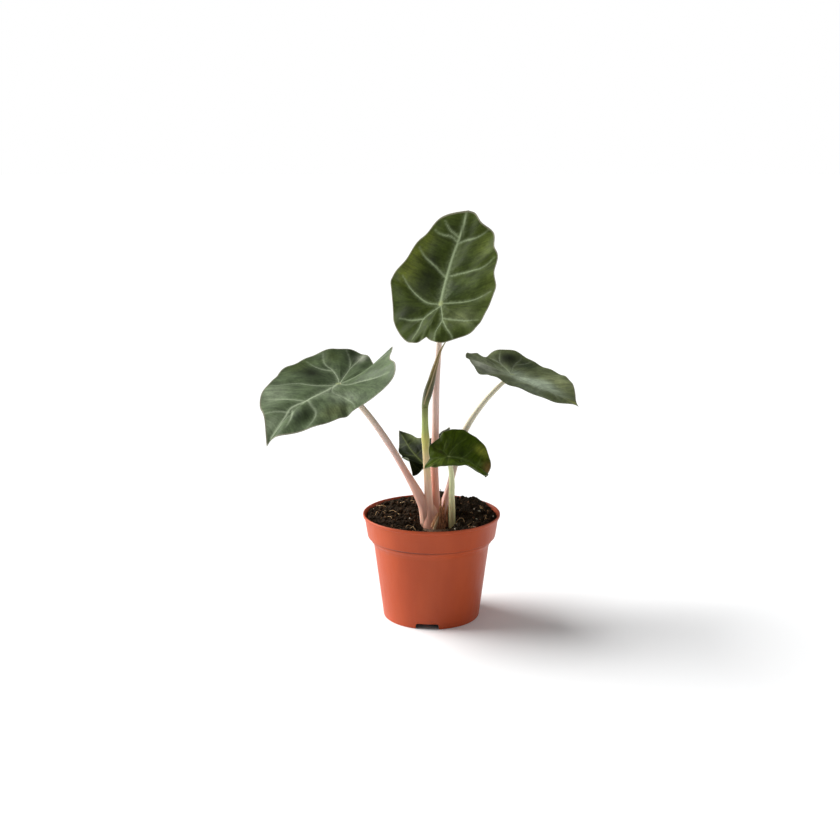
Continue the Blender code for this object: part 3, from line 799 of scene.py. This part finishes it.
for key, stations in STALKS.items():
    line = through([*stations, joint_end(key)], 150)
    stalk = tube_mesh("stalk_" + key, line, ribbed)
    look = stalk_material("stalk_" + key, STALK_COLOURS[key])
    finish_piece("stalk_" + key, stalk, look, "petiole", "petiole_" + key)

# %% [markdown]
# ## The new leaf
# The youngest leaf is still rolled into a slim spear. A real roll is one sheet wound round itself, and
# what shows is a spiral step that runs up it. So the spear is a tube whose radius grows once round
# and falls back in one step, the step turning slowly as it climbs.

# %% The rolled leaf
NEW_ROLL = [(-5.8, -8.3, 187, 2.85), (-5.0, -8.3, 193, 3.3), (-3.4, -8.3, 199, 3.9), (0, -8.3, 211.5, 3.2),
            (3.3, -8.3, 224.4, 2.2), (7.5, -8.3, 237.3, 1.1), (12.7, -8.3, 245.8, 0.25)]


def rolled(turn, share):
    seam = roll_seam(turn, share)
    return 0.84 + 0.24 * seam - 0.06 * smooth_step((seam - 0.97) / 0.03)


def roll_seam(turn, share):
    """How far round from the sheet's outer edge, 0 to 1, a place on the roll lies."""
    return np.mod(turn - 1.3 - 0.9 * share, 2 * np.pi) / (2 * np.pi)


def roll_edge(turn, share):
    """1 on the pale outer edge of the sheet and on a fold beside it, and 0 near the foot of the roll."""
    seam = roll_seam(turn, share)
    return (np.exp(-(((seam - 0.975) / 0.022) ** 2)) + 0.6 * np.exp(-(((seam - 0.8) / 0.012) ** 2))) * (share > 0.06)


def new_leaf_material():
    made, tree, surface = new_material("new_leaf_skin")
    streaks = {"Fine": lengthways(tree, 0.9)}
    height = mask_of(tree, "height")
    colour = blend(tree, ramp(tree, height, 188, 200), rgb(112, 120, 48), rgb(56, 58, 13))
    colour = blend(tree, ramp(tree, height, 205, 236), colour, rgb(142, 112, 60))
    colour = blend(tree, ramp(tree, height, 236, 246), colour, rgb(226, 220, 196))
    colour = blend(tree, ramp(tree, streaks["Fine"], 0.4, 0.7, 0.0, 0.5), colour, rgb(96, 92, 36))
    colour = blend(tree, times(tree, mask_of(tree, "edge"), 0.8), colour, rgb(190, 168, 128))
    tree.links.new(colour, surface.inputs["Base Color"])
    surface.inputs["Roughness"].default_value = 0.4
    bump(tree, surface, streaks["Fine"], 0.0002, 0.6)
    return made


roll = tube_mesh("rolled_leaf", through(NEW_ROLL, 140), rolled, 120, roll_edge)
finish_piece("rolled_leaf", roll, new_leaf_material(), "new_leaf", "new_leaf_roll")
new_stalk = tube_mesh("new_leaf_stalk_skin", through(NEW_STALK, 150), ribbed)
new_stalk_look = stalk_material(
    "new_stalk_skin",
    [(74, rgb(246, 178, 154)), (98, rgb(244, 186, 162)), (116, rgb(238, 196, 168)), (138, rgb(228, 200, 152)), (158, YELLOW_GREEN),
     (172, rgb(164, 176, 92)), (188, rgb(116, 124, 52))],
)
finish_piece("new_leaf_stalk_skin", new_stalk, new_stalk_look, "petiole", "new_leaf_stalk")

# %% [markdown]
# ## Pot
# The pot is one thin moulding. Its section is drawn once, from the floor up the inside, over the rim and
# down the outside to the foot, and turned round the axis. The band's lower edge is crisp and the wall
# below it flows back in a hollow curve. Notches and drain holes are cut afterwards.

# %% The pot's section
RIM_R, BAND_TOP_R, BAND_LOW_R, NECK_R, BASE_R = 60.0, 58.6, 55.8, 50.2, 42.2
BAND_LOW_Z, NECK_Z, FLOOR_Z, WALL, LIP_H = 72.0, 65.5, 6.4, 1.4, 2.4
TAPER = (NECK_R - BASE_R) / NECK_Z


def rounded(corners, radius=0.7, steps=4):
    """The line through the corners with each inner corner rounded off."""
    corners = [np.array(c, float) for c in corners]
    line = [corners[0]]
    for before, here, after in zip(corners, corners[1:], corners[2:]):
        back, on = before - here, after - here
        reach = min(radius, 0.45 * np.linalg.norm(back), 0.45 * np.linalg.norm(on))
        start, end = here + back / np.linalg.norm(back) * reach, here + on / np.linalg.norm(on) * reach
        for t in np.linspace(0, 1, steps):
            line.append((1 - t) ** 2 * start + 2 * t * (1 - t) * here + t * t * end)
    return [*line, corners[-1]]


pot_inside = [(0, FLOOR_Z + WALL), (BASE_R + TAPER * FLOOR_Z - WALL - 1, FLOOR_Z + WALL),
              (BASE_R + TAPER * FLOOR_Z - WALL, FLOOR_Z + WALL + 2), (NECK_R - WALL, NECK_Z + 0.6),
              (BAND_LOW_R - WALL, BAND_LOW_Z + 0.6), (BAND_TOP_R - WALL, RIM_Z - 4), (RIM_R - WALL, RIM_Z)]
pot_outside = [(RIM_R, RIM_Z), (RIM_R, RIM_Z - LIP_H), (BAND_TOP_R, RIM_Z - LIP_H - 0.5),
               (BAND_LOW_R + 0.1, BAND_LOW_Z + 0.5), (BAND_LOW_R - 1.9, BAND_LOW_Z), (53.4, 69.6),
               (51.6, 67.4), (50.5, 64.6), (BASE_R, 0), (BASE_R - WALL, 0),
               (BASE_R + TAPER * FLOOR_Z - WALL, FLOOR_Z), (0, FLOOR_Z)]
section = rounded([*pot_inside, *pot_outside])
print("section points:", len(section))

# %% Turning and cutting the pot
POT_STEPS = 240


def turned_mesh(name, line, steps):
    count = len(line)
    turn = np.linspace(0, 2 * np.pi, steps, endpoint=False)
    r, z = np.array(line).T
    points = np.stack([np.outer(np.cos(turn), r), np.outer(np.sin(turn), r), np.tile(z, (steps, 1))], -1)
    faces = []
    for i in range(steps):
        a, b = i * count, (i + 1) % steps * count
        faces += [(a + j, b + j, b + j + 1, a + j + 1) for j in range(count - 1)]
    mesh = mesh_of(name, points.reshape(-1, 3), faces)
    work = bmesh.new()
    work.from_mesh(mesh)
    bmesh.ops.remove_doubles(work, verts=work.verts, dist=1e-7)
    bmesh.ops.recalc_face_normals(work, faces=work.faces)
    work.to_mesh(mesh)
    work.free()
    return mesh


def cutter_object(mesh):
    obj = bpy.data.objects.new(mesh.name, mesh)
    bpy.context.scene.collection.objects.link(obj)
    return obj


def notch_cutter(turn):
    """A block with rounded upper corners across the foot ring."""
    mesh = bpy.data.meshes.new("notch")
    work = bmesh.new()
    bmesh.ops.create_cube(work, size=1)
    bmesh.ops.scale(work, verts=work.verts, vec=(14 * MM, 20 * MM, 10 * MM))
    along = [e for e in work.edges if abs((e.verts[0].co - e.verts[1].co).x) > 0.01]
    bmesh.ops.bevel(work, geom=along, offset=2.4 * MM, segments=6, profile=0.5, affect="EDGES")
    work.to_mesh(mesh)
    work.free()
    obj = cutter_object(mesh)
    obj.location = to_scene((BASE_R * math.cos(turn), BASE_R * math.sin(turn), 0))
    obj.rotation_euler = (0, 0, turn)
    return obj


def drain_cutter(turn):
    mesh = turned_mesh("drain", [(0, 12), (4, 12), (4, 2), (0, 2)], 40)
    obj = cutter_object(mesh)
    obj.location = (24 * MM * math.cos(turn), 24 * MM * math.sin(turn), 0)
    return obj


def cut_out(mesh, cutters):
    """The mesh with every cutter's shape taken away."""
    body = cutter_object(mesh)
    for cutter in cutters:
        step = body.modifiers.new(cutter.name, "BOOLEAN")
        step.operation = "DIFFERENCE"
        step.solver = "EXACT"
        step.object = cutter
    bpy.context.view_layer.update()
    done = bpy.data.meshes.new_from_object(body.evaluated_get(bpy.context.evaluated_depsgraph_get()))
    for spent in [*cutters, body]:
        bpy.data.objects.remove(spent)
    done.shade_smooth()
    done.set_sharp_from_angle(angle=math.radians(38))
    return done


notches = [notch_cutter(math.radians(-95.5 + 120 * i)) for i in range(3)]
drains = [drain_cutter(math.pi / 6 + math.pi / 3 * i) for i in range(6)]
pot_mesh = cut_out(turned_mesh("pot_body", section, POT_STEPS), notches + drains)

# %% [markdown]
# Cheap nursery pots are moulded in a filled, brick-coloured plastic. It is satin, a little uneven in
# colour, with fine scuffs. Shade is painted into it: dark brown in the crease under the band, strongest
# on the front left, and in the hollow under the pot's floor.

# %% Pot material
def pot_material():
    made, tree, surface = new_material("pot_plastic")
    flow = grain(tree, 260, (1, 1, 0.25))
    fine = grain(tree, 2600)
    colour = blend(tree, ramp(tree, flow["Cloud"], 0.3, 0.7), rgb(168, 66, 25), rgb(178, 73, 30))
    colour = blend(tree, ramp(tree, fine["Fine"], 0.55, 0.75, 0.0, 0.14), colour, rgb(205, 124, 88))
    # Painted shade: the crease under the band and the hollow under the floor go dark brown.
    colour = blend(tree, mask_of(tree, "painted_shade"), colour, rgb(46, 26, 20))
    tree.links.new(colour, surface.inputs["Base Color"])
    tree.links.new(ramp(tree, flow["Fine"], 0.3, 0.7, 0.4, 0.5), surface.inputs["Roughness"])
    surface.inputs["Specular IOR Level"].default_value = 0.32
    bump(tree, surface, fine["Fine"], 0.00008, 0.5)
    return made


places = np.empty(len(pot_mesh.vertices) * 3)
pot_mesh.vertices.foreach_get("co", places)
places = (places.reshape(-1, 3) - AXIS) / MM
radius = np.hypot(places[:, 0], places[:, 1])
# Painted shade, darkest in the hollow under the floor and in the crease under the band, strongest on the front left.
shade_below_floor = smooth_step((BASE_R - 0.3 + TAPER * places[:, 2] - radius) / 0.9) * (places[:, 2] < FLOOR_Z + 0.5)
crease_shade = np.exp(-(((places[:, 2] - BAND_LOW_Z + 0.4) / 0.6) ** 2)) * (radius < BAND_LOW_R - 1.2) * (radius > 52)
facing = np.degrees(np.arctan2(places[:, 1], places[:, 0]))
crease_shade *= 0.25 + 0.75 * np.exp(-(((facing + 108) / 34) ** 2))
painted_shade = np.maximum(0.9 * shade_below_floor, 0.8 * crease_shade)
pot_mesh.attributes.new("painted_shade", "FLOAT", "POINT").data.foreach_set("value", painted_shade.astype(np.float32))
finish_piece("pot_body", pot_mesh, pot_material(), "pot", "pot")

# %% [markdown]
# ## Growing mix
# The top of the mix is a crumbly surface that lies a few millimetres under the rim. Noise at three sizes
# raises it, and it reaches down inside the pot so nothing is hollow.

# %% The mix's surface
SOIL_R = 57.0
SOIL_ROUND, SOIL_RINGS = 260, 90


def soil_height(x, y):
    """Nearly up to the rim, higher behind, and washed down round the front of the stalks."""
    place = Vector((x * 0.06, y * 0.06, 3.7))
    fine = Vector((x * 0.32, y * 0.32, 9.1))
    grit = Vector((x * 0.9, y * 0.9, 1.9))
    level = 89.6 + 0.03 * y + 4.4 * math.exp(-(((x - 38) / 19) ** 2) - ((y - 38) / 13) ** 2)
    level += 5.5 * math.exp(-(((x - 9) / 5) ** 2) - ((y - 53) / 5) ** 2)
    level -= 10.5 * math.exp(-(((x - 1) / 24) ** 2) - ((y + 19) / 19) ** 2)
    return level + 1.6 * noise.noise(place) + 1.7 * noise.noise(fine) + 0.9 * noise.noise(grit)


def soil_mesh():
    turn = np.linspace(0, 2 * np.pi, SOIL_ROUND, endpoint=False)
    points = [(0, 0, soil_height(0, 0))]
    for radius in np.linspace(0, SOIL_R, SOIL_RINGS + 1)[1:]:
        points += [(radius * math.cos(t), radius * math.sin(t), soil_height(radius * math.cos(t), radius * math.sin(t)))
                   for t in turn]
    down = [(BAND_LOW_R - WALL - 0.5, BAND_LOW_Z + 1), (NECK_R - WALL - 0.5, NECK_Z), (BASE_R - WALL, 9), (BASE_R - 4, 8.2)]
    for radius, z in down:
        points += [(radius * math.cos(t), radius * math.sin(t), z) for t in turn]
    points.append((0, 0, 8.2))
    k = np.arange(SOIL_ROUND)
    after = (k + 1) % SOIL_ROUND
    faces = np.c_[np.zeros(SOIL_ROUND, int), 1 + k, 1 + after].tolist()
    for ring in range(SOIL_RINGS + len(down) - 1):
        a, b = 1 + ring * SOIL_ROUND, 1 + (ring + 1) * SOIL_ROUND
        faces += np.c_[a + k, b + k, b + after, a + after].tolist()
    last = len(points) - 1
    faces += np.c_[np.full(SOIL_ROUND, last), last - SOIL_ROUND + after, last - SOIL_ROUND + k].tolist()
    return mesh_of("growing_mix", points, faces)


def soil_material():
    made, tree, surface = new_material("mix_dark")
    crumbs = grain(tree, 500)
    fine = grain(tree, 1800)
    colour = blend(tree, ramp(tree, crumbs["Fine"], 0.3, 0.7), rgb(24, 18, 9), rgb(62, 45, 26))
    colour = blend(tree, ramp(tree, fine["Fine"], 0.6, 0.78, 0.0, 0.5), colour, rgb(104, 80, 54))
    tree.links.new(colour, surface.inputs["Base Color"])
    surface.inputs["Roughness"].default_value = 0.95
    surface.inputs["Specular IOR Level"].default_value = 0.2
    bump(tree, surface, times(tree, crumbs["Fine"], fine["Fine"], "ADD"), 0.0012, 1.0)
    return made


MIX = soil_material()
finish_piece("growing_mix", soil_mesh(), MIX, "soil", "soil")

# %% [markdown]
# Loose crumbs of peat and bark lie on top. Each is a small ball with noise pushed into it, scattered
# evenly by a fixed random draw, and smaller in front of the stalks.

# %% Crumbs on the mix
def lumps(name, count, sizes, lift, seed, squash=0.7, detail=2):
    """Many small rough lumps as one mesh, lying on the mix and clear of the pot's wall."""
    draw = random.Random(seed)
    work = bmesh.new()
    for _ in range(count):
        size = draw.uniform(*sizes)
        radius = math.sqrt(draw.random()) * (SOIL_R - 0.8 - size)
        turn = draw.uniform(0, 2 * math.pi)
        x, y = radius * math.cos(turn), radius * math.sin(turn)
        if abs(x - 3) < 17 and -26 < y < -7:
            size *= 0.4
        spin = Euler([draw.uniform(0, 6.3) for _ in range(3)]).to_matrix()
        shape = Vector((draw.uniform(0.7, 1.2), draw.uniform(0.6, 1.0), squash * draw.uniform(0.7, 1.1)))
        made = bmesh.ops.create_icosphere(work, subdivisions=detail, radius=1)["verts"]
        offset = Vector((draw.uniform(0, 50), 0, 0))
        for v in made:
            rough = 1 + 0.5 * noise.noise(v.co * 1.6 + offset) + 0.25 * noise.noise(v.co * 4 + offset)
            place = spin @ Vector(a * b for a, b in zip(v.co * rough, shape)) * size
            v.co = Vector(to_scene(place + Vector((x, y, soil_height(x, y) + lift * size))))
    mesh = bpy.data.meshes.new(name)
    work.to_mesh(mesh)
    work.free()
    mesh.shade_smooth()
    return mesh


finish_piece("crumbs", lumps("crumbs", 760, (0.6, 2.2), 0.25, 4), MIX, "soil")
finish_piece("clods", lumps("clods", 44, (2.4, 4.0), 0.1, 9, detail=3), MIX, "soil")


def pale_grit_material():
    made, tree, surface = new_material("pale_grit")
    specks = grain(tree, 1400)
    colour = blend(tree, ramp(tree, specks["Fine"], 0.4, 0.65), rgb(222, 214, 198), rgb(168, 152, 130))
    tree.links.new(colour, surface.inputs["Base Color"])
    surface.inputs["Roughness"].default_value = 0.9
    bump(tree, surface, specks["Fine"], 0.0004, 1.0)
    return made


def bark_material():
    made, tree, surface = new_material("bark_bits")
    fibre = grain(tree, 1600, (1, 0.3, 1))
    colour = blend(tree, ramp(tree, fibre["Fine"], 0.35, 0.65), rgb(66, 42, 24), rgb(142, 104, 66))
    tree.links.new(colour, surface.inputs["Base Color"])
    surface.inputs["Roughness"].default_value = 0.9
    bump(tree, surface, fibre["Fine"], 0.0004, 1.0)
    return made


finish_piece("bark_bits", lumps("bark_bits", 230, (0.5, 1.5), 0.5, 33, squash=0.35), bark_material(), "soil")
finish_piece("pale_grit", lumps("pale_grit", 26, (0.5, 1.2), 0.6, 21), pale_grit_material(), "soil")

# %% [markdown]
# ## Rootstock and old sheaths
# The stub that every stalk rises from is hidden in the mix. It keeps its plain shape and gets a skin.
# The dead sheaths at the crown are papery, brown and streaked lengthways.

# %% Dry skins
def dry_material(name, dark, light):
    made, tree, surface = new_material(name)
    streaks = grain(tree, 900, (1, 1, 0.1))
    colour = blend(tree, ramp(tree, streaks["Fine"], 0.35, 0.7), dark, light)
    tree.links.new(colour, surface.inputs["Base Color"])
    surface.inputs["Roughness"].default_value = 0.8
    bump(tree, surface, streaks["Fine"], 0.0006, 0.8)
    return made


def repaint(name, material):
    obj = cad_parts[name]
    obj.data.materials.clear()
    obj.data.materials.append(material)


repaint("rootstock", dry_material("rootstock_skin", rgb(84, 60, 42), rgb(132, 98, 70)))
repaint("dry_sheath", dry_material("dry_sheath_skin", rgb(108, 70, 48), rgb(176, 132, 98)))
repaint("old_scale", dry_material("old_scale_skin", rgb(196, 130, 84), rgb(240, 192, 148)))

# %% [markdown]
# Thin fibres finish the crown and the mix: torn strips of dead sheath stand round the feet of the
# stalks, one of them pale, and root hairs and straws lie curled on the mix.

# %% Strips and hairs
def strand_mesh(name, strands, sides=8):
    """Thin tapered strands as one mesh. Each is (points with x, y, z, half width, thinness)."""
    points, faces = [], []
    turn = np.linspace(0, 2 * np.pi, sides, endpoint=False)
    for stations, thin in strands:
        centre, side, front, radius = tube_rings(through(stations, 26))
        start = len(points)
        for c, a, b, r in zip(centre, side, front, radius):
            points += (c + r * (np.cos(turn)[:, None] * a + thin * np.sin(turn)[:, None] * b)).tolist()
        k = np.arange(sides)
        after = (k + 1) % sides
        for ring in range(25):
            low, high = start + ring * sides, start + (ring + 1) * sides
            faces += np.c_[low + k, low + after, high + after, high + k].tolist()
        faces += [(start + k[::-1]).tolist(), (start + 25 * sides + k).tolist()]
    points = np.array(points)
    return mesh_of(name, points, faces, {"height": points[:, 2]})


SHEATH_STRIPS = [
    ([(6.6, -13.4, 76, 1.5), (7.0, -12.8, 88, 1.6), (7.8, -9.2, 101, 0.9), (8.6, -6.6, 108, 0.2)], 0.25),
    ([(9.6, -12.0, 76, 1.7), (9.8, -11.0, 88, 1.5), (10.2, -7.8, 97, 1.1), (11.4, -5.2, 105, 0.2)], 0.25),
    ([(12.6, -10.6, 76, 1.5), (12.8, -10.2, 85, 1.3), (13.2, -8.6, 94, 0.9), (14.2, -7.6, 101, 0.2)], 0.3),
    ([(4.2, -14.6, 76, 1.2), (5.0, -14.4, 84, 1.1), (6.4, -12.8, 93, 0.6), (7.4, -10.8, 99, 0.15)], 0.3),
    ([(7.8, -14.2, 76, 1.1), (8.4, -14.6, 82, 0.9), (9.8, -14.6, 87, 0.5), (11.8, -13.8, 90, 0.15)], 0.3),
    ([(11.4, -12.6, 76, 0.9), (11.0, -13.4, 83, 0.8), (9.6, -13.0, 90, 0.5), (8.6, -11.6, 95, 0.15)], 0.3),
]
PALE_STRIPS = [
    ([(1.2, -15.0, 77, 1.2), (2.4, -15.2, 82, 1.3), (4.4, -14.8, 88, 0.8), (6.2, -13.6, 93.5, 0.15)], 0.25),
]


def hair(x, y, length, turn, curl, lift, half_width=0.22):
    """A loose hair on the mix: start, length, direction, how much it curls and how high its middle stands."""
    stations = []
    for share in np.linspace(0, 1, 7):
        heading = turn + curl * share
        stations.append((x, y, soil_height(x, y) + 0.9 + lift * math.sin(math.pi * share), half_width))
        x, y = x + length / 6 * math.cos(heading), y + length / 6 * math.sin(heading)
    return stations, 0.9


HAIRS = [hair(*row) for row in (
    (-44, 8, 20, 0.3, -1.6, 1.0), (-50, -3, 8, 0.9, 0.4, 3.0), (-34, -12, 9, 1.9, 1.1, 1.6), (-22, -22, 8, 0.3, 0.8, 1.2),
    (-14, -26, 6, 2.2, 1.4, 1.6), (21, -14, 12, 1.4, -3.4, 2.6), (30, -24, 9, 0.2, 1.2, 0.9), (36, 4, 10, 2.6, 1.0, 0.8),
    (-40, 22, 10, 2.9, -0.9, 1.0), (46, -10, 8, 1.1, 0.7, 1.4), (18, 34, 9, 0.6, 1.4, 1.0), (-8, 40, 11, 3.4, -0.8, 1.0),
    (-28, 36, 8, 5.2, 0.9, 1.1), (44, 22, 8, 4.4, 1.4, 0.8), (-2, -34, 6, 0.2, 1.2, 1.0),
)]
finish_piece("sheath_strips", strand_mesh("sheath_strips", SHEATH_STRIPS, 16),
             dry_material("strip_brown", rgb(134, 80, 48), rgb(222, 160, 116)), "dry")
finish_piece("pale_strips", strand_mesh("pale_strips", PALE_STRIPS, 16),
             dry_material("strip_pale", rgb(206, 172, 128), rgb(238, 214, 178)), "dry")
finish_piece("root_hairs", strand_mesh("root_hairs", HAIRS),
             dry_material("hair_tan", rgb(172, 132, 84), rgb(226, 196, 150)), "soil")

# %% [markdown]
# ## Floor and light
# The plant stands on a plain white floor in soft daylight. A wide window, on the left and a little
# behind, gives the pot its bright side and a long soft shadow. The white room fills the rest at less
# than half that strength, though the eye still sees its walls as white.

# %% Stage
def stage_floor():
    mesh = bpy.data.meshes.new("floor")
    work = bmesh.new()
    bmesh.ops.create_grid(work, x_segments=2, y_segments=2, size=40)
    work.to_mesh(mesh)
    work.free()
    obj = bpy.data.objects.new("floor", mesh)
    bpy.context.scene.collection.objects.link(obj)
    made, tree, surface = new_material("floor_white")
    surface.inputs["Base Color"].default_value = (0.95, 0.95, 0.95, 1)
    surface.inputs["Roughness"].default_value = 0.9
    surface.inputs["Specular IOR Level"].default_value = 0.0
    mesh.materials.append(made)


stage_floor()
sun_data = bpy.data.lights.new("window_light", "SUN")
sun_data.energy = 4.9
sun_data.angle = math.radians(50)
sun_data.color = (1.0, 1.0, 1.0)
sun = bpy.data.objects.new("window_light", sun_data)
sun.rotation_euler = Vector((0.955, -0.33, -0.68)).to_track_quat("-Z", "Y").to_euler()
bpy.context.scene.collection.objects.link(sun)
for name, side, energy in (("left_screen", -1, 4.0), ("right_screen", 1, 1.6)):
    screen_data = bpy.data.lights.new(name, "AREA")
    screen_data.size = 0.5
    screen_data.energy = energy
    screen = bpy.data.objects.new(name, screen_data)
    screen.location = to_scene((side * 1000, 120, 260))
    screen.rotation_euler = Vector((-side * 1.0, -0.12, -0.18)).to_track_quat("-Z", "Y").to_euler()
    screen.visible_camera = False
    bpy.context.scene.collection.objects.link(screen)
ROOM = 0.29
world = bpy.data.worlds.new("white_room")
world.use_nodes = True
room = world.node_tree
seen = node(room, "ShaderNodeBackground", Color=(1, 1, 1, 1), Strength=1.0)
shining = room.nodes["Background"]
shining.inputs["Color"].default_value = (0.97, 0.985, 1.0, 1)
shining.inputs["Strength"].default_value = ROOM
choice = node(room, "ShaderNodeMixShader")
room.links.new(node(room, "ShaderNodeLightPath").outputs["Is Camera Ray"], choice.inputs["Fac"])
room.links.new(shining.outputs[0], choice.inputs[1])
room.links.new(seen.outputs[0], choice.inputs[2])
room.links.new(choice.outputs[0], room.nodes["World Output"].inputs["Surface"])
bpy.context.scene.world = world
bpy.context.scene.view_settings.view_transform = "Standard"
